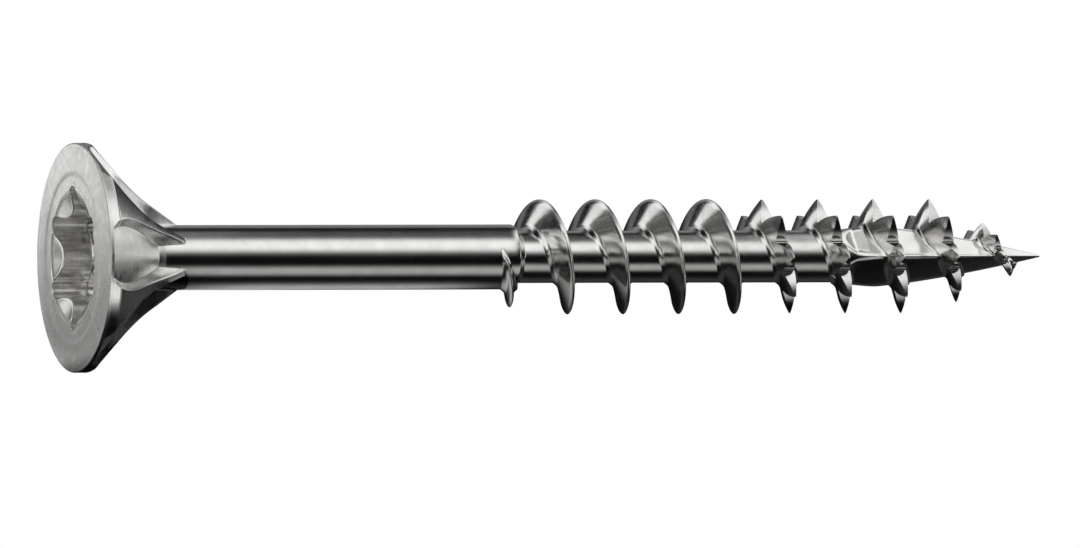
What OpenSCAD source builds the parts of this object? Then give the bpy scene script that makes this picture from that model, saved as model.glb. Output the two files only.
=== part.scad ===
// Countersunk wood screw with a six-lobe drive, milling ribs under the head, a part thread
// whose front turns are serrated, and a square point.
// The axis is +X, from head to tip. The origin is the centre of the head's face.
// Turns about the axis are angles from +Y towards +Z.

/* [Screw] */
// Length from the head's face to the tip
length = 40; // [36:0.5:60]
// Diameter of the smooth shank
shank_d = 2.55; // [2.3:0.05:3.1]
// Distance from the head's face to the end of the smooth shank
shank_end = 18.1; // [16:0.1:21.5]

/* [Head] */
// Diameter of the head
head_d = 9; // [8.8:0.1:11]
// Height of the straight rim where a rib carries it
rim_h = 0.65; // [0.5:0.05:0.75]
// Height of the straight rim between the ribs
pocket_rim_h = 0.2; // [0.16:0.02:0.3]
// Chamfer on the rim's edges
rim_chamfer = 0.1; // [0.05:0.01:0.12]
// Height of the head, from its face to where the cone between the ribs meets the shank
head_h = 3.15; // [3.1:0.05:4]

/* [Drive recess] */
// Turn of the first lobe
drive_turn = 30; // [0:1:60]
// Size across two opposite lobes
drive_a = 5.6; // [4.6:0.05:5.65]
// Size across two opposite flutes
drive_b = 3.95; // [3.75:0.05:4]
// Radius of a lobe's tip
lobe_r = 0.45; // [0.4:0.01:0.5]
// Depth of the lobed part
drive_depth = 1.55; // [1.2:0.05:1.6]
// Diameter of the conical lead-in at the face
lead_in_d = 5.25; // [4.2:0.05:5.5]
// Depth at which the lead-in meets the flutes
lead_in_h = 0.32; // [0.1:0.02:0.5]
// Depth of the cone in the recess floor
floor_cone_h = 0.55; // [0.2:0.05:0.6]

/* [Milling ribs] */
// Number of ribs
rib_count = 6; // [4:1:8]
// Turn of the first rib
rib_turn = 28; // [0:1:90]
// Width of a rib at the rim
rib_rim_w = 1.9; // [1.4:0.05:2.1]
// Width that a rib narrows to
rib_end_w = 0.24; // [0.2:0.02:0.5]
// Distance over which the flare of a rib falls to about a third
rib_flare = 1.1; // [0.8:0.05:1.5]
// Full angle of the countersink that the crests lie on
seat_angle = 90; // [88:0.5:92]
// Diameter at which the crests turn down to the shank
knee_d = 5; // [4.6:0.05:5.4]
// Distance from the head's face to the ends of the ribs
rib_end = 4.3; // [4.1:0.05:5.5]

/* [Thread] */
// Outside diameter of the thread
thread_d = 4.5; // [4:0.1:5.4]
// Diameter of the core between the turns
core_d = 2.05; // [1.8:0.05:2.2]
// Advance of the thread in one turn
pitch = 2.3; // [2:0.05:2.8]
// Full angle between the flight's two flanks
flank_angle = 27; // [24:1:34]
// Width of the flight's crest
crest_w = 0.12; // [0.06:0.01:0.16]
// Distance that the crest leans towards the tip
crest_lean = 0.12; // [0:0.02:0.2]
// Turn at which the flight starts
start_turn = 165; // [0:7.5:360]
// Distance that the flight starts before the end of the smooth shank
start_back = 0.72; // [0.6:0.02:1]
// Angle over which the flight rises to its full height
rise_angle = 215; // [150:5:360]
// Turns of plain flight before the serrated flight
plain_turns = 4.5; // [3:0.25:6]
// Teeth in one turn of the serrated flight
teeth = 8; // [6:1:10]
// Depth of the notches between the teeth
tooth_depth = 0.84; // [0.3:0.01:0.9]

/* [Point] */
// Length of the square point
point_len = 8.4; // [7:0.1:11]
// Size of the square across its corners, before it tapers
corner_d = 2.46; // [2.3:0.02:2.7]
// Length over which the round core turns square
square_len = 1.5; // [0.8:0.1:2]
// Size of the blunt end across its corners
tip_d = 0.1; // [0.06:0.02:0.2]
// Rise of the flight's crest for each millimetre from the tip
tip_slope = 0.44; // [0.38:0.01:0.6]
// Distance from the tip to the end of the flight
flight_stop = 0.7; // [0.6:0.05:1.5]

/* [Hidden] */

round_fn = 128;
steel = [0.72, 0.72, 0.70];
dark_steel = [0.55, 0.55, 0.54];

// Head and shank
head_r = head_d / 2;
shank_r = shank_d / 2;
under_rim_r = head_r - rim_chamfer;
lip = 1;

// Drive recess: the flutes have the radius that meets the lobes without a corner
lobes = 6;
arc_steps = 6;
lobe_centre = drive_a / 2 - lobe_r;
flute_r = (drive_b ^ 2 / 4 + lobe_centre ^ 2 - lobe_centre * drive_b * cos(30) - lobe_r ^ 2)
    / (2 * (lobe_centre * cos(30) + lobe_r) - drive_b);
flute_centre = drive_b / 2 + flute_r;
flute_half = asin(lobe_centre * sin(30) / (lobe_r + flute_r));
lobe_half = 30 + flute_half;
lead_in_w = (lead_in_d - drive_b) / 2;
floor_clear = 0.15;
floor_tip_r = 0.3;

// Milling ribs: their crests run from the rim to the knee, and from the knee to the shank
knee_r = knee_d / 2;
knee_x = rim_h + (under_rim_r - knee_r) / tan(seat_angle / 2);
rib_steps = 12;

// Core and point
core_r = core_d / 2;
step_h = 0.3;
core_start = shank_end + step_h;
point_start = length - point_len;
square_start = point_start + square_len;
taper_steps = 10;
taper_power = 1.35;
pinch_clear = 0.02;
pinch_from = core_r + pinch_clear;

// Thread
thread_r = thread_d / 2;
flight_start = shank_end - start_back;
flank_slope = tan(flank_angle / 2);
sweep_step = 7.5;
tooth_angle = 360 / teeth;
crest_at_tip = 0.25;
least_height = 0.06;
fall_angle = 45;
serrated_from = round((start_turn + 360 * plain_turns) / tooth_angle) * tooth_angle - start_turn;
point_from = round((start_turn + turned(point_start)) / tooth_angle) * tooth_angle - start_turn;
flight_angle = round((start_turn + turned(length - flight_stop)) / tooth_angle * 2)
    * tooth_angle / 2 - start_turn;

// Angle that the flight has turned through when it reaches x, and the reverse
function turned(x) = (x - flight_start) / pitch * 360;
function along(w) = flight_start + pitch * w / 360;

// Half the width of a rib, where x is the place along the axis
function rib_half(x) = (rib_end_w + (rib_rim_w - rib_end_w) * exp((rim_h - x) / rib_flare)) / 2;

// Half the size of the square point across its flats
function flat_r(x) =
    let (left = min(1, (length - x) / (length - square_start)))
    (tip_d + (corner_d - tip_d) * (1 - pow(1 - left, taper_power))) / 2 * cos(45);
// Radius of the cone that rounds the corners where the core turns square. It opens faster than
// the corners do, so that it leaves them just before they are at full size.
function round_r(x) = core_r + (corner_d / 2 + pinch_clear - core_r) * (x - point_start) / square_len;
// Half the size across the flats where the core turns square, and beyond. The flats start
// just outside the core, so that they cut into it a little later.
function pinch_r(x) =
    x >= square_start ? flat_r(x)
    : pinch_from + (flat_r(square_start) - pinch_from) * (x - point_start) / square_len;

// Radius of the surface that the flight stands on
function step_r(x) = core_r + (shank_r - core_r) * min(1, max(0, (core_start - x) / step_h));
function body_r(x, turn) =
    x <= point_start ? step_r(x)
    : min(round_r(x), pinch_r(x) / max(abs(cos(turn - 45)), abs(sin(turn - 45))));

// Outside radius of the flight without its notches
function envelope_r(w) =
    let (
        x = along(w),
        low = body_r(x, start_turn + w),
        full = min(thread_r, crest_at_tip + tip_slope * (length - x)),
        part = min(sin(90 * min(1, w / rise_angle)), min(1, (flight_angle - w) / fall_angle))
    )
    low + max(least_height, (full - low) * part);
// Share of the notches' depth: 0 on a tooth's tip, and 1 at the bottom of a notch
function notch(w) =
    let (place = (start_turn + w) / tooth_angle)
    2 * abs(place - round(place));

// Section of the flight: back root, back crest, front crest, front root
function section(w, serrated) =
    let (
        x = along(w),
        turn = start_turn + w,
        low = body_r(x, turn),
        outer = envelope_r(w),
        cut = serrated ? tooth_depth * outer / thread_r * notch(w) : 0,
        top = max(low + least_height, outer - cut),
        lean = crest_lean * (top - low) / (thread_r - core_r),
        half_top = crest_w / 2 + (outer - top) * flank_slope,
        half_root = crest_w / 2 + (outer - low) * flank_slope
    )
    [
        on_turn(x - half_root, turn, root_r(x - half_root, turn)),
        on_turn(x - half_top + lean, turn, top),
        on_turn(x + half_top + lean, turn, top),
        on_turn(x + half_root, turn, root_r(x + half_root, turn))
    ];
function root_r(x, turn) = body_r(x, turn) / cos(sweep_step / 2);
function on_turn(x, turn, r) = [x, r * cos(turn), r * sin(turn)];

// Walls between neighbouring rings of n points, and the two end faces
function sweep_faces(rings, n) = [
    [for (j = [n - 1:-1:0]) j],
    for (i = [0:rings - 2], j = [0:n - 1])
        each let (a = i * n + j, b = i * n + (j + 1) % n) [[a, b, b + n], [a, b + n, a + n]],
    [for (j = [0:n - 1]) (rings - 1) * n + j]
];

// Turns a shape made about +Z so that it lies about the screw's axis
module on_axis() {
    rotate([90, 0, 90]) children();
}

// Outline of the drive: each lobe's arc, then the arc of the flute after it
module drive_outline() {
    polygon([
        for (lobe = [0:360 / lobes:359]) each concat(
            [for (s = [-arc_steps:arc_steps])
                let (arc = lobe + lobe_half * s / arc_steps)
                lobe_centre * [cos(lobe), sin(lobe)] + lobe_r * [cos(arc), sin(arc)]],
            [for (s = [1 - arc_steps:arc_steps - 1])
                let (flute = lobe + 180 / lobes, arc = flute + 180 - flute_half * s / arc_steps)
                flute_centre * [cos(flute), sin(flute)] + flute_r * [cos(arc), sin(arc)]]
        )
    ]);
}

// The space that the driver bit fills
module recess() {
    rotate([0, 0, drive_turn]) translate([0, 0, -lip]) linear_extrude(drive_depth + lip) drive_outline();
    translate([0, 0, -lead_in_h]) cylinder(
        h = 3 * lead_in_h,
        r1 = drive_b / 2 + 2 * lead_in_w,
        r2 = drive_b / 2 - lead_in_w,
        $fn = round_fn
    );
    translate([0, 0, drive_depth])
        cylinder(h = floor_cone_h, r1 = drive_b / 2 - floor_clear, r2 = floor_tip_r, $fn = round_fn);
}

// Flat face, thin rim and the cone between the ribs
module head() {
    color(steel) on_axis() difference() {
        rotate_extrude($fn = round_fn) polygon([
            [0, 0],
            [head_r - rim_chamfer, 0],
            [head_r, rim_chamfer],
            [head_r, pocket_rim_h],
            [shank_r, head_h],
            [0, head_h]
        ]);
        recess();
    }
}

// One rib: a piece of a revolved crest, between two sides that flare towards the rim
module rib() {
    places = [for (i = [0:rib_steps]) (rib_end + lip) * i / rib_steps];
    one_side = [for (x = places) [rib_half(x), x]];
    other_side = [for (i = [rib_steps:-1:0]) [-one_side[i].x, one_side[i].y]];
    intersection() {
        rotate([0, 0, -180 / rib_count]) rotate_extrude(angle = 360 / rib_count, $fn = round_fn) polygon([
            [head_r, pocket_rim_h],
            [head_r, rim_h - rim_chamfer],
            [under_rim_r, rim_h],
            [knee_r, knee_x],
            [shank_r, rib_end],
            [shank_r, head_h]
        ]);
        rotate([90, 0, 90]) linear_extrude(head_r + lip) polygon(concat(one_side, other_side));
    }
}

module milling_ribs() {
    color(dark_steel) on_axis()
        for (i = [0:rib_count - 1]) rotate([0, 0, rib_turn + i * 360 / rib_count]) rib();
}

// Smooth shank, and the short cone that steps down to the core
module shank() {
    color(steel) on_axis() rotate_extrude($fn = round_fn) polygon([
        [0, head_h],
        [shank_r, head_h],
        [shank_r, shank_end],
        [core_r, core_start],
        [0, core_start]
    ]);
}

module thread_core() {
    color(steel) on_axis() translate([0, 0, core_start])
        cylinder(h = point_start - core_start, r = core_r, $fn = round_fn);
}

// Flight between two angles after its start
module flight(from, to, serrated) {
    steps = ceil((to - from) / sweep_step);
    sections = [for (i = [0:steps]) section(from + (to - from) * i / steps, serrated)];
    polyhedron(points = [for (s = sections) each s], faces = sweep_faces(steps + 1, 4), convexity = 10);
}

module plain_thread() {
    color(steel) flight(0, serrated_from, false);
}

module serrated_thread() {
    color(dark_steel) flight(serrated_from, point_from, true);
}

module point_thread() {
    color(steel) flight(point_from, flight_angle, true);
}

// Slab between two opposite flats of the point, which lie either side of +Y
module point_flats() {
    places = [for (i = [0:taper_steps]) square_start + (length - square_start) * i / taper_steps];
    side = concat(
        [[point_start - lip, pinch_r(point_start - lip)]],
        [for (x = places) [x, flat_r(x)]],
        [[length + lip, flat_r(length)]]
    );
    back = [for (i = [len(side) - 1:-1:0]) [side[i].x, -side[i].y]];
    translate([0, 0, -corner_d]) linear_extrude(2 * corner_d) polygon(concat(side, back));
}

// Square point, whose corners are limited by a cone where the core turns square
module point() {
    color(dark_steel) intersection() {
        rotate([45, 0, 0]) point_flats();
        rotate([-45, 0, 0]) point_flats();
        on_axis() rotate_extrude($fn = round_fn) polygon([
            [0, point_start],
            [round_r(point_start), point_start],
            [round_r(length), length],
            [0, length]
        ]);
    }
}

head();
milling_ribs();
shank();
thread_core();
plain_thread();
serrated_thread();
point();
point_thread();
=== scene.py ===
"""Looks of a countersunk wood screw in stainless steel.

It lies along +X with its head's face at the origin. Shapes are worked out in millimetres and made in metres.
A turn is an angle about the screw in degrees, from +Y towards +Z, and w is the angle that the flight has
turned through since its start.
"""

import bpy
import numpy as np
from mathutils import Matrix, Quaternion, Vector


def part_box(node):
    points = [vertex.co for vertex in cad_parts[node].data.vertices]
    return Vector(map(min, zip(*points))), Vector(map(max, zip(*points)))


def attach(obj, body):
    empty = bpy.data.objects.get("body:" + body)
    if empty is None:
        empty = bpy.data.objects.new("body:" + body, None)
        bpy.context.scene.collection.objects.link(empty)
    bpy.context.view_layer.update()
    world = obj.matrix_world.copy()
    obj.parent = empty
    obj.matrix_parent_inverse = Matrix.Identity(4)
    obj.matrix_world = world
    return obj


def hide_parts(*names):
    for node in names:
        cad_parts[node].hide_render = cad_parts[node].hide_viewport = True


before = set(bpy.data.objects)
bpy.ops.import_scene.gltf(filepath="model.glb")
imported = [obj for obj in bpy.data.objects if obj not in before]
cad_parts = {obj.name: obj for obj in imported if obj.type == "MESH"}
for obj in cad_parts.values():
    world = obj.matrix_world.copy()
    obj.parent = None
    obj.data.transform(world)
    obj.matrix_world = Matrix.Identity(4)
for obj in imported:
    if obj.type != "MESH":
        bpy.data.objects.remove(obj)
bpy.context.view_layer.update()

MM = 0.001


# ---- Sizes from the frame ----
def lowest(node, axis):
    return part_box(node)[0][axis] / MM


def highest(node, axis):
    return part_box(node)[1][axis] / MM


LENGTH = highest("point", 0)
HEAD_R = highest("head", 2)
HEAD_H = lowest("shank", 0)
SHANK_R = highest("shank", 2)
CORE_R = highest("thread_core", 2)
CORE_START = highest("shank", 0)
POINT_START = lowest("point", 0)
THREAD_R = highest("plain_thread", 2)
POCKET_RIM_H = lowest("milling_ribs", 0)
RIB_END = highest("milling_ribs", 0)

# ---- Head ----
RIM_H = 0.65
RIM_CHAMFER = 0.1
FACE_R = HEAD_R - RIM_CHAMFER
DRIVE_TURN = 30
LOBE_CENTRE = 2.35
LOBE_R = 0.45
FLUTE_IN_R = 1.975
DRIVE_DEPTH = 1.55
LEAD_IN_R = 2.625
LEAD_IN_H = 0.32
LEAD_IN_BLEND = 0.12
FLOOR_CONE_H = 0.55
FLOOR_R = FLUTE_IN_R - 0.15
FLOOR_FILLET = 0.05
MOUTH_ROUND = 0.05
DISH_R = 3.3
DISH_H = 0.03
DISH_EDGE = 0.12
DOME_R = 3.3
DOME_H = 0.07
NECK_FILLET = 0.05

# ---- Milling ribs ----
RIB_COUNT = 6
RIB_TURN = 28
RIB_RIM_W = 1.9
RIB_END_W = 0.24
RIB_FLARE = 1.1
KNEE_R = 2.5
RIB_EDGE = 0.05
RIB_BLEND = 0.25
RIB_RIM_BLEND = 0.08
RIB_ROOT = 0.1

# ---- Thread ----
STEP_H = 0.3
PITCH = 2.3
FLANK_SLOPE = np.tan(np.radians(13.5))
CREST_W = 0.12
CREST_LEAN = 0.12
START_TURN = 165
RUN_OUT_H = 0.72
FLIGHT_START = CORE_START - STEP_H - RUN_OUT_H
RISE_ANGLE = 215
FALL_ANGLE = 45
PLAIN_TURNS = 4.5
TOOTH_ANGLE = 45
TOOTH_DEPTH = 0.84
FLIGHT_STOP = 0.7
TIP_CREST = 0.25
TIP_SLOPE = 0.44
TIP_BLEND = 0.2
LEAST_H = 0.02
ROOT_FILLET = 0.14
ROOT_FILLET_H = 0.2
ROOT_H = 0.12
CREST_ROUND = 0.17
TOOTH_ROUND = 0.6

# ---- Point ----
TURNING_H = 1.5
SQUARE_START = POINT_START + TURNING_H
CORNER_R = 1.23
TIP_R = 0.05
TAPER_POWER = 1.35
FLATS_BEGUN = 0.35
POINT_BLEND = 0.13


# ---- Curves ----
def smooth_max(a, b, blend):
    share = np.clip(0.5 + 0.5 * (a - b) / blend, 0, 1)
    return b + (a - b) * share + 0.5 * blend * share * (1 - share)


def smooth_min(a, b, blend):
    return -smooth_max(-a, -b, blend)


def smooth_step(low, high, value):
    share = np.clip((value - low) / (high - low), 0, 1)
    return share * share * (3 - 2 * share)


def at_turn(x, turn, r):
    """Points at a place along the axis, a turn and a radius."""
    angle = np.radians(turn)
    return np.stack(np.broadcast_arrays(x, r * np.cos(angle), r * np.sin(angle)), axis=-1)


# ---- Surfaces of the screw ----
def cone_r(x):
    """The cone between the ribs, which runs out into the shank."""
    slope = (HEAD_R - SHANK_R) / (HEAD_H - POCKET_RIM_H)
    return smooth_max(HEAD_R - slope * np.maximum(x - POCKET_RIM_H, 0), SHANK_R, NECK_FILLET)


def rib_crest_r(x):
    """The ribs' crests: the rim, a 90 degree countersink to the knee, then a slimmer cone to the shank."""
    knee_x = RIM_H + FACE_R - KNEE_R
    seat = FACE_R - (x - RIM_H)
    neck = KNEE_R - (KNEE_R - SHANK_R) / (RIB_END - knee_x) * (x - knee_x)
    return smooth_min(HEAD_R, smooth_max(seat, neck, RIB_BLEND), RIB_RIM_BLEND)


def rib_half(x):
    """Half the width of a rib, which flares towards the rim."""
    return (RIB_END_W + (RIB_RIM_W - RIB_END_W) * np.exp((RIM_H - x) / RIB_FLARE)) / 2


def flat_r(x):
    """Half the size of the square point across its flats."""
    left = np.clip((LENGTH - x) / (LENGTH - SQUARE_START), 0, 1)
    return (TIP_R + (CORNER_R - TIP_R) * (1 - (1 - left) ** TAPER_POWER)) * np.cos(np.radians(45))


def point_r(x, turn):
    """The point: the round core turns square, with corners at the turns 0, 90, 180 and 270."""
    begun = (x - POINT_START) / (SQUARE_START - POINT_START)
    turning = CORE_R + (flat_r(SQUARE_START) - CORE_R) * np.clip(begun / FLATS_BEGUN, 0, 1)
    across_flats = np.where(x > SQUARE_START, flat_r(x), turning)
    off_flat = np.radians(turn - 45)
    square = across_flats / np.maximum(np.abs(np.cos(off_flat)), np.abs(np.sin(off_flat)))
    off_corner = (turn + 45) % 90 - 45
    blunt = 1 - 0.035 * np.exp(-((off_corner / 5) ** 2))
    return smooth_min(CORE_R + (CORNER_R - CORE_R) * begun, square * blunt, POINT_BLEND)


def body_r(x, turn):
    """The shank, the core and the point, which the flight stands on."""
    step = smooth_step(CORE_START - STEP_H, CORE_START, x)
    return np.where(x < POINT_START, SHANK_R + (CORE_R - SHANK_R) * step, point_r(x, turn))


def drive_r(turn):
    """Outline of the recess: a lobe's arc, then the arc of the flute beside it, which meets it smoothly."""
    half = np.radians(30)
    square_off = FLUTE_IN_R**2 + LOBE_CENTRE**2 - 2 * LOBE_CENTRE * FLUTE_IN_R * np.cos(half)
    flute_arc = (square_off - LOBE_R**2) / (2 * (LOBE_CENTRE * np.cos(half) + LOBE_R - FLUTE_IN_R))
    flute_centre = FLUTE_IN_R + flute_arc
    towards = np.arctan2(flute_centre * np.sin(half), flute_centre * np.cos(half) - LOBE_CENTRE)
    meet = np.arctan2(LOBE_R * np.sin(towards), LOBE_CENTRE + LOBE_R * np.cos(towards))
    off_lobe = np.abs((np.radians(turn - DRIVE_TURN) + half) % (2 * half) - half)
    off_flute = half - off_lobe
    lobe_reach = np.sqrt(np.maximum(LOBE_R**2 - (LOBE_CENTRE * np.sin(off_lobe)) ** 2, 0))
    flute_reach = np.sqrt(np.maximum(flute_arc**2 - (flute_centre * np.sin(off_flute)) ** 2, 0))
    lobe = LOBE_CENTRE * np.cos(off_lobe) + lobe_reach
    flute = flute_centre * np.cos(off_flute) - flute_reach
    return np.where(off_lobe < meet, lobe, flute)


# ---- Meshes ----
def mesh_piece(name, shells, sharp_angle):
    """A piece of one or more closed shells. Each shell is rings of points, closed by a fan at either end."""
    points, faces = [], []
    for rings in shells:
        rows, cols = rings.shape[:2]
        base = len(points)
        first, last = base + rows * cols, base + rows * cols + 1
        points += [tuple(p) for p in rings.reshape(-1, 3) * MM]
        points += [tuple(ring.mean(0) * MM) for ring in (rings[0], rings[-1])]
        for j in range(cols):
            after = (j + 1) % cols
            faces.append((first, base + after, base + j))
            faces.append((last, base + (rows - 1) * cols + j, base + (rows - 1) * cols + after))
            for i in range(rows - 1):
                low, high = base + i * cols, base + (i + 1) * cols
                faces.append((low + after, high + after, high + j, low + j))
    mesh = bpy.data.meshes.new(name)
    mesh.from_pydata(points, [], faces)
    mesh.shade_smooth()
    mesh.set_sharp_from_angle(angle=np.radians(sharp_angle))
    piece = bpy.data.objects.new(name, mesh)
    bpy.context.scene.collection.objects.link(piece)
    return piece


def make_body(name, places, cols, sharp_angle):
    """The shank, the core or the point, between its first and last place along the axis."""
    x, turn = np.meshgrid(places, np.linspace(0, 360, cols, endpoint=False), indexing="ij")
    return mesh_piece(name, [at_turn(x, turn, body_r(x, turn))], sharp_angle)


def make_head():
    """The head from the middle of the recess outwards: floor, walls, lead-in, face, rim and cone."""
    turn = np.linspace(0, 360, 576, endpoint=False)
    wall = drive_r(turn)
    rings = []

    def ring(x, r):
        rings.append(at_turn(x, turn, r + 0 * turn))

    for share in np.linspace(0.03, 1, 14):
        ring(DRIVE_DEPTH + FLOOR_CONE_H * (1 - share), FLOOR_R * share)
    for share in np.linspace(0.1, 1, 8):
        ring(DRIVE_DEPTH - FLOOR_FILLET * share**4, FLOOR_R + (wall - FLOOR_R) * share)
    for x in np.r_[np.linspace(DRIVE_DEPTH - 2 * FLOOR_FILLET, 0.55, 10), np.linspace(0.5, MOUTH_ROUND, 26)]:
        lead_in = LEAD_IN_R - x * (LEAD_IN_R - FLUTE_IN_R) / LEAD_IN_H
        ring(x, smooth_max(wall, lead_in, LEAD_IN_BLEND))
    mouth = smooth_max(wall, LEAD_IN_R, LEAD_IN_BLEND)
    for angle in np.radians(np.linspace(15, 90, 6)):
        ring(MOUTH_ROUND * (1 - np.sin(angle)), mouth + MOUTH_ROUND * (1 - np.cos(angle)))
    mouth = mouth + MOUTH_ROUND
    for share in np.linspace(0.04, 1, 30):
        r = mouth + (FACE_R - mouth) * share
        dish = DISH_H * smooth_step(DISH_R + DISH_EDGE, DISH_R - DISH_EDGE, r) * smooth_step(0, 0.15, share)
        ring(dish + DOME_H * np.maximum(0, (r - DOME_R) / (FACE_R - DOME_R)) ** 2, r)
    for angle in np.radians(np.linspace(12, 90, 8)):
        ring(DOME_H + (RIM_CHAMFER - DOME_H) * (1 - np.cos(angle)), FACE_R + RIM_CHAMFER * np.sin(angle))
    ring(POCKET_RIM_H - 0.02, HEAD_R)
    for x in np.r_[np.linspace(POCKET_RIM_H, 2.8, 40), np.linspace(2.85, HEAD_H + 0.3, 24)]:
        ring(x, cone_r(x))
    return mesh_piece("screw_head", [np.array(rings)], 32)


def make_ribs():
    """Each rib is rings round its section: over its crest, and back inside the cone that it stands on."""
    across = np.linspace(-1, 1, 81)
    places = np.r_[np.linspace(POCKET_RIM_H - 0.03, 1.2, 40), np.linspace(1.25, RIB_END + 0.05, 60)]
    shells = []
    for rib in range(RIB_COUNT):
        angle = np.radians(RIB_TURN + rib * 360 / RIB_COUNT)
        rings = []
        for x in places:
            half = rib_half(x)
            side = across * (half + RIB_EDGE)
            low = np.sqrt(cone_r(x) ** 2 - side**2) - 0.012
            high = np.sqrt(max(rib_crest_r(x), SHANK_R) ** 2 - side**2) - 0.001
            flat_top = smooth_step(half + RIB_EDGE, half - RIB_EDGE, np.abs(side))
            up = low + np.maximum(high - low, 0) * flat_top
            out = np.r_[up, low[::-1] - RIB_ROOT]
            side = np.r_[side, side[::-1]]
            y = out * np.cos(angle) - side * np.sin(angle)
            z = out * np.sin(angle) + side * np.cos(angle)
            rings.append(np.stack(np.broadcast_arrays(x, y, z), axis=-1))
        shells.append(np.array(rings))
    return mesh_piece("ribs_under_head", shells, 50)


def place_of(w):
    return FLIGHT_START + PITCH * w / 360


def turned(x):
    return (x - FLIGHT_START) / PITCH * 360


def snapped(w, step):
    """The angle after the flight's start that is nearest to w and at a whole number of steps round."""
    return round((START_TURN + w) / step) * step - START_TURN


SERRATED_FROM = snapped(360 * PLAIN_TURNS, TOOTH_ANGLE)
POINT_FROM = snapped(turned(POINT_START), TOOTH_ANGLE)
FLIGHT_END = snapped(turned(LENGTH - FLIGHT_STOP), TOOTH_ANGLE / 2)


def flight_low_and_outer(w):
    """Radius that the flight stands on, and radius of its crest without notches."""
    x = place_of(w)
    low = body_r(x, START_TURN + w)
    full = smooth_min(THREAD_R, TIP_CREST + TIP_SLOPE * (LENGTH - x), TIP_BLEND)
    rise = np.sin(np.radians(90 * np.clip(w / RISE_ANGLE, 0, 1)))
    fall = np.clip((FLIGHT_END - w) / FALL_ANGLE, 0, 1)
    return low, low + np.maximum(LEAST_H, (full - low) * np.minimum(rise, fall))


def notch_share(w):
    """0 on a tooth's tip and 1 at the bottom of a notch, with both a little rounded."""
    place = (START_TURN + w) / TOOTH_ANGLE
    sharp = 2 * np.abs(place - np.round(place))
    return smooth_min(smooth_max(sharp, 0.03, 0.08), 0.97, 0.08)


def make_flight(name, start, end, step):
    """A flight as rings round its section: up the front flank, over the crest, down the back flank."""
    w = np.linspace(start, end, int(round((end - start) / step)) + 1)
    x, turn = place_of(w), START_TURN + w
    low, outer = flight_low_and_outer(w)
    serrated = smooth_step(SERRATED_FROM - TOOTH_ANGLE / 2, SERRATED_FROM, w)
    size = outer / THREAD_R
    top = np.maximum(outer - TOOTH_DEPTH * size * notch_share(w) * serrated, low + LEAST_H)
    round_h = np.minimum(CREST_ROUND + (TOOTH_ROUND * size - CREST_ROUND) * serrated, outer - low)
    lines = []
    shares = (1 - np.cos(np.radians(np.linspace(0, 180, 24)))) / 2
    for side, heights in ((1, shares), (-1, shares[::-1])):
        for share in heights:
            height = (top - low) * share
            half = CREST_W / 2 + (outer - low - height) * FLANK_SLOPE
            near_top = np.clip(1 - (outer - low - height) / round_h, 0, 1)
            rounded = np.sqrt(1 - 0.98 * near_top**2)
            foot = ROOT_FILLET * np.clip(1 - height / ROOT_FILLET_H, 0, 1) ** 2
            foot = foot * np.clip((top - low) / (2 * ROOT_FILLET_H), 0, 1)
            place = x + side * (half * rounded + foot) + CREST_LEAN * height / (THREAD_R - CORE_R)
            lines.append(at_turn(place, turn, np.maximum(low + height, body_r(place, turn) - 0.01)))
    for side in (-1, 1):
        place = x + side * (CREST_W / 2 + (outer - low) * FLANK_SLOPE)
        lines.append(at_turn(place, turn, body_r(place, turn) - ROOT_H))
    rings = np.array(lines).transpose(1, 0, 2)
    return mesh_piece(name, [rings], 50)


# ---- Materials ----
class Nodes:
    """Adds nodes to one material and links them in few words."""

    def __init__(self, name):
        self.material = bpy.data.materials.new(name)
        self.material.use_nodes = True
        self.tree = self.material.node_tree
        self.tree.nodes.clear()

    def add(self, kind, inputs=None, output=0, **settings):
        node = self.tree.nodes.new(kind)
        for key, value in settings.items():
            setattr(node, key, value)
        for key, value in (inputs or {}).items():
            if isinstance(value, bpy.types.NodeSocket):
                self.tree.links.new(value, node.inputs[key])
            else:
                node.inputs[key].default_value = value
        return node.outputs[output]

    def noise(self, where, scale, detail=4.0, rough=0.55):
        inputs = {"Vector": where, "Scale": scale, "Detail": detail, "Roughness": rough}
        return self.add("ShaderNodeTexNoise", inputs)

    def ranged(self, value, low, high, to_low=0.0, to_high=1.0):
        limits = {"From Min": low, "From Max": high, "To Min": to_low, "To Max": to_high}
        return self.add("ShaderNodeMapRange", {"Value": value, **limits})

    def blend(self, share, a, b):
        return self.add("ShaderNodeMix", {0: share, 6: a, 7: b}, output=2, data_type="RGBA")

    def mix_value(self, share, a, b):
        return self.add("ShaderNodeMix", {0: share, 2: a, 3: b}, data_type="FLOAT")

    def math(self, operation, a, b=0.0):
        return self.add("ShaderNodeMath", {0: a, 1: b}, operation=operation)

    def bump(self, height, distance, strength, normal=None):
        inputs = {"Height": height, "Distance": distance * MM, "Strength": strength}
        if normal:
            inputs["Normal"] = normal
        return self.add("ShaderNodeBump", inputs)

    def finish(self, surface):
        out = self.tree.nodes.new("ShaderNodeOutputMaterial")
        self.tree.links.new(surface, out.inputs["Surface"])
        return self.material


STEEL = (0.90, 0.895, 0.88, 1)
STEEL_DARK = (0.78, 0.775, 0.76, 1)
STEEL_WORN = (0.95, 0.945, 0.93, 1)
# Dark grey of the painted shade in concave corners and creases
CREASE_SHADE_GREY = (0.34, 0.33, 0.31, 1)


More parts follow.
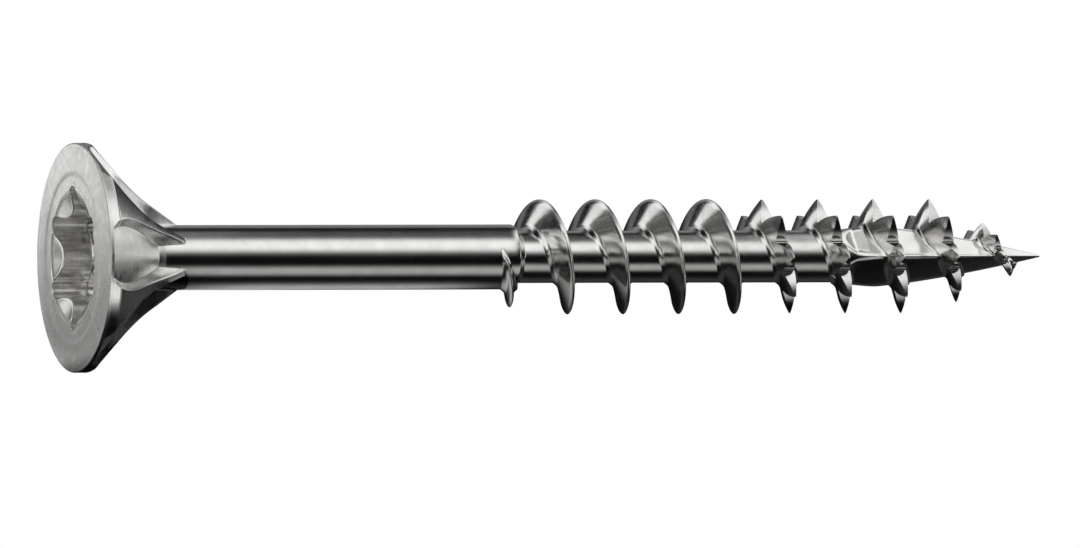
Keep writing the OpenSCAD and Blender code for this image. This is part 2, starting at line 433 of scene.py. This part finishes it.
def recess_share(n, place):
    """1 on the walls and floor of the recess, which its polished punch leaves bright, and 0 elsewhere."""
    x = n.add("ShaderNodeSeparateXYZ", {0: place})
    off_axis = n.add("ShaderNodeMapping", {"Vector": place, "Scale": (0, 1, 1)})
    r = n.add("ShaderNodeVectorMath", {0: off_axis}, output=1, operation="LENGTH")
    inside = n.math("MULTIPLY", n.ranged(r, 3.0 * MM, 2.85 * MM), n.ranged(x, 0.04 * MM, 0.1 * MM))
    towards_neck = n.math("ADD", x, n.math("MULTIPLY", r, 0.5))
    return n.math("MULTIPLY", inside, n.ranged(towards_neck, 3.05 * MM, 2.95 * MM))


def steel(name, rough, grain, grain_height, dents, crease_shade=0.0, recess_rough=None):
    """Stainless steel.

    grain is the noise's scale along X, Y and Z. grain_height and dents are heights in millimetres of the
    tool's fine marks and of broad unevenness. The argument after dents is the share of painted shade that
    darkens concave corners and creases.
    recess_rough is the roughness in the recess, which is left without bumps.
    """
    n = Nodes(name)
    place = n.add("ShaderNodeTexCoord", output=3)
    stretched = n.add("ShaderNodeMapping", {"Vector": place, "Scale": grain})
    fine = n.noise(stretched, 1.0, 6.0, 0.62)
    broad = n.noise(place, 520.0, 3.0)
    cloudy = n.noise(place, 1500.0, 5.0, 0.6)
    pointy = n.add("ShaderNodeNewGeometry", output=7)
    edge = n.ranged(pointy, 0.51, 0.6)
    # Painted shade: where pointiness is low, in concave corners, creases and thread roots, the colour is
    # blended towards a dark grey
    crease_shade_share = n.math("MULTIPLY", n.ranged(pointy, 0.49, 0.42), crease_shade)
    tone = n.blend(n.ranged(cloudy, 0.35, 0.7), STEEL, STEEL_DARK)
    tone = n.blend(n.math("MULTIPLY", n.ranged(fine, 0.55, 0.75), 0.35), tone, STEEL_DARK)
    tone = n.blend(edge, tone, STEEL_WORN)
    tone = n.blend(crease_shade_share, tone, CREASE_SHADE_GREY)
    by_grain = n.ranged(fine, 0.3, 0.7, -0.2 * rough, 0.25 * rough)
    by_place = n.ranged(broad, 0.3, 0.7, 0.85 * rough, 1.1 * rough)
    roughness = n.math("ADD", by_grain, by_place)
    depth = 1.0
    if recess_rough:
        inside = recess_share(n, place)
        roughness = n.mix_value(inside, roughness, n.math("MULTIPLY", roughness, recess_rough / rough))
        depth = n.ranged(inside, 0.0, 1.0, 1.0, 0.0)
    normal = n.bump(fine, grain_height, depth, n.bump(broad, dents, depth))
    inputs = {"Base Color": tone, "Metallic": 1.0, "Roughness": roughness, "Normal": normal}
    return n.finish(n.add("ShaderNodeBsdfPrincipled", inputs))


def dress(piece, material, node):
    piece.data.materials.append(material)
    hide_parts(node)
    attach(piece, "root")


headed = steel("headed_steel", 0.31, (2600, 2600, 2600), 0.004, 0.012, 0.5, 0.22)
pressed = steel("pressed_rib_steel", 0.2, (1200, 2600, 2600), 0.004, 0.012, 0.5)
drawn = steel("drawn_steel", 0.13, (60, 6000, 6000), 0.0006, 0.004)
rolled = steel("rolled_steel", 0.15, (900, 4000, 4000), 0.002, 0.006, 0.4)

shank_end = CORE_START - STEP_H
step_places = np.linspace(shank_end + 0.02, CORE_START, 14)
shank_places = np.r_[HEAD_H - 0.1, np.linspace(HEAD_H, shank_end, 40), step_places]
core_places = np.linspace(CORE_START, POINT_START, 60)
point_places = np.linspace(POINT_START, LENGTH, 140)

dress(make_head(), headed, "head")
dress(make_ribs(), pressed, "milling_ribs")
dress(make_body("smooth_shank", shank_places, 192, 38), drawn, "shank")
dress(make_body("core_of_thread", core_places, 192, 38), rolled, "thread_core")
dress(make_body("square_point", point_places, 288, 60), rolled, "point")
dress(make_flight("plain_flight", 0, SERRATED_FROM, 2.5), rolled, "plain_thread")
serrated_flight = make_flight("serrated_flight", SERRATED_FROM, POINT_FROM, 1.25)
dress(serrated_flight, rolled, "serrated_thread")
dress(make_flight("tip_flight", POINT_FROM, FLIGHT_END, 1.25), rolled, "point_thread")


# ---- Studio: a white room, a pale floor, and black nets that only reflections see ----
FLOOR_Z = -HEAD_R - 0.05
FLOOR_SPAN = 500
NET_R = 150
NET_PLACES = np.r_[-400:-20:5.0, -20:60:1.0, 60:321:5.0]
NET_SOFT = 2
NET_LEAK = 0.004
FACE_NET_SHARE = 0.76
RIB_NET_SHARE = 0.85
# Windows in the tunnel: from and to which place along the axis, the turn of the middle from the front
# horizon over the top, half the width in degrees, and how open the window is
WINDOWS = (
    (-160, 88, 43.5, 24.5, 1.0),
    (88, 106, 52, 22, 0.35),
    (-160, -30, -45, 14, 0.4),
    (-30, 4, -26, 9, 0.9),
    (5, 118, -45, 14, 0.4),
    (-160, -14, -138, 28, 0.5),
    (-25, 0, -165, 20, 0.6),
    (0, 12, -162, 15, 0.3),
    (-14, 7, -125, 30, 0.1),
    (7, 17.5, -125, 29, 0.42),
    (17.5, 60, -120, 25, 0.04),
    (-38, 52, 90, 21, 0.55),
    (52, 118, 78, 26, 0.06),
    (-160, -85, 145, 21, 1.0),
    (-85, -38, 131, 15, 0.85),
    (-38, 118, 148, 18, 0.22),
    (-130, -13, 177, 7, 1.0),
    (84, 150, 92, 26, 1.0),
    (125, 200, 90, 55, 0.12),
    (130, 262, -14, 58, 1.0),
    (-420, -165, 10, 100, 1.0),
    (262, 330, -85, 105, 1.0),
    (190, 330, 182, 21, 1.0),
)


def stage_mesh(name, points, faces, material):
    mesh = bpy.data.meshes.new(name)
    mesh.from_pydata([tuple(p) for p in np.asarray(points, float) * MM], [], faces)
    mesh.materials.append(material)
    thing = bpy.data.objects.new(name, mesh)
    bpy.context.scene.collection.objects.link(thing)
    return thing


def net_cloth():
    n = Nodes("net_cloth")
    share = n.add("ShaderNodeAttribute", output=2, attribute_name="net_share")
    clear = n.add("ShaderNodeBsdfTransparent")
    black = n.add("ShaderNodeBsdfDiffuse", {"Color": (0, 0, 0, 1)})
    return n.finish(n.add("ShaderNodeMixShader", {0: share, 1: clear, 2: black}))


def make_net(name, points, faces, net_share):
    """Black net that blocks the given share of the light at each point. Only reflections see it."""
    net = stage_mesh(name, points, faces, net_material)
    shares = net.data.attributes.new("net_share", "FLOAT", "POINT")
    shares.data.foreach_set("value", np.asarray(net_share, np.float32))
    net.visible_camera = net.visible_diffuse = net.visible_shadow = False
    return net


def make_tunnel():
    """Nets in a half circle over the screw and flat on the floor under it, open at both ends."""
    x, turn = np.meshgrid(NET_PLACES, np.arange(-180, 180, 2.0), indexing="ij")
    open_share = np.full(x.shape, NET_LEAK)
    for start, end, middle, half, share in WINDOWS:
        begun = smooth_step(start - NET_SOFT, start + NET_SOFT, x)
        along = begun * smooth_step(end + NET_SOFT, end - NET_SOFT, x)
        off = np.abs((turn - middle + 180) % 360 - 180)
        open_share += share * along * np.exp(-((off / half) ** 3))
    down = np.maximum(-np.sin(np.radians(turn)), 1e-4)
    r = np.minimum(NET_R, (-FLOOR_Z - 0.02) / down)
    points = at_turn(x, 180 - turn, r).reshape(-1, 3)
    rows, cols = turn.shape
    faces = [
        (i * cols + j, i * cols + (j + 1) % cols, (i + 1) * cols + (j + 1) % cols, (i + 1) * cols + j)
        for i in range(rows - 1)
        for j in range(cols)
    ]
    return make_net("studio_tunnel", points, faces, 1 - np.clip(open_share, 0, 1).ravel())


def make_face_net():
    """A net behind the head's face, denser towards the floor."""
    z = np.linspace(-12, 16, 15)
    points = [(x, 15, h) for h in z for x in (-14, -1.5)]
    faces = [(2 * i, 2 * i + 1, 2 * i + 3, 2 * i + 2) for i in range(len(z) - 1)]
    return make_net("studio_face_net", points, faces, np.repeat(FACE_NET_SHARE * smooth_step(6, -4, z), 2))


def make_rib_net():
    """A net on the floor just behind the ribs, so that the lower ones reflect it."""
    points = [(4.7, y, z) for z in (FLOOR_Z + 0.03, -1.5) for y in (-3, 7)]
    make_net("studio_rib_net", points, [(0, 1, 3, 2)], [RIB_NET_SHARE] * 4)


def floor_paper():
    """Pale paper that is white to the camera and to reflections where the screw doesn't shade it."""
    n = Nodes("floor_paper")
    seen = n.add("ShaderNodeLightPath", output=0)
    glossy = n.add("ShaderNodeLightPath", output=3)
    through = n.add("ShaderNodeLightPath", output=6)
    lit = n.math("MAXIMUM", n.math("MAXIMUM", seen, glossy), through)
    fibres = n.noise(n.add("ShaderNodeTexCoord", output=3), 900.0)
    colour = n.blend(n.ranged(fibres, 0.3, 0.7), (0.86, 0.86, 0.85, 1), (0.88, 0.88, 0.87, 1))
    glow = n.add("ShaderNodeEmission", {"Color": (1, 1, 1, 1), "Strength": n.math("MULTIPLY", lit, 0.2)})
    matte = n.add("ShaderNodeBsdfDiffuse", {"Color": colour})
    n.material.cycles.emission_sampling = "NONE"
    return n.finish(n.add("ShaderNodeAddShader", {0: glow, 1: matte}))


def make_floor():
    edges = (-FLOOR_SPAN, FLOOR_SPAN)
    corners = [(x, y, FLOOR_Z) for x in edges for y in edges]
    stage_mesh("floor", corners, [(0, 2, 3, 1)], floor_paper())


net_material = net_cloth()
make_tunnel()
make_face_net()
make_rib_net()
make_floor()

scene = bpy.context.scene
scene.world = bpy.data.worlds.new("white_room")
scene.world.use_nodes = True
scene.world.node_tree.nodes["Background"].inputs["Color"].default_value = (1, 1, 1, 1)
scene.world.node_tree.nodes["Background"].inputs["Strength"].default_value = 1.0
scene.world.cycles.sampling_method = "NONE"

# ---- Camera ----
VIEW_TURN = np.radians(19)
VIEW_ROLL = np.radians(-0.12)
WIDTH_SEEN = 42.25
AIM = Vector((19.346, 0, -0.669))
DISTANCE = 400

camera_data = bpy.data.cameras.new("camera")
camera_data.type = "ORTHO"
camera_data.ortho_scale = WIDTH_SEEN * MM
camera_data.clip_end = 5
camera = bpy.data.objects.new("camera", camera_data)
scene.collection.objects.link(camera)
back = Vector((-np.sin(VIEW_TURN), -np.cos(VIEW_TURN), 0))
camera.location = (AIM + back * DISTANCE) * MM
camera.rotation_mode = "QUATERNION"
camera.rotation_quaternion = Quaternion(back, VIEW_ROLL) @ (-back).to_track_quat("-Z", "Y")
scene.camera = camera
scene.view_settings.view_transform = "Standard"
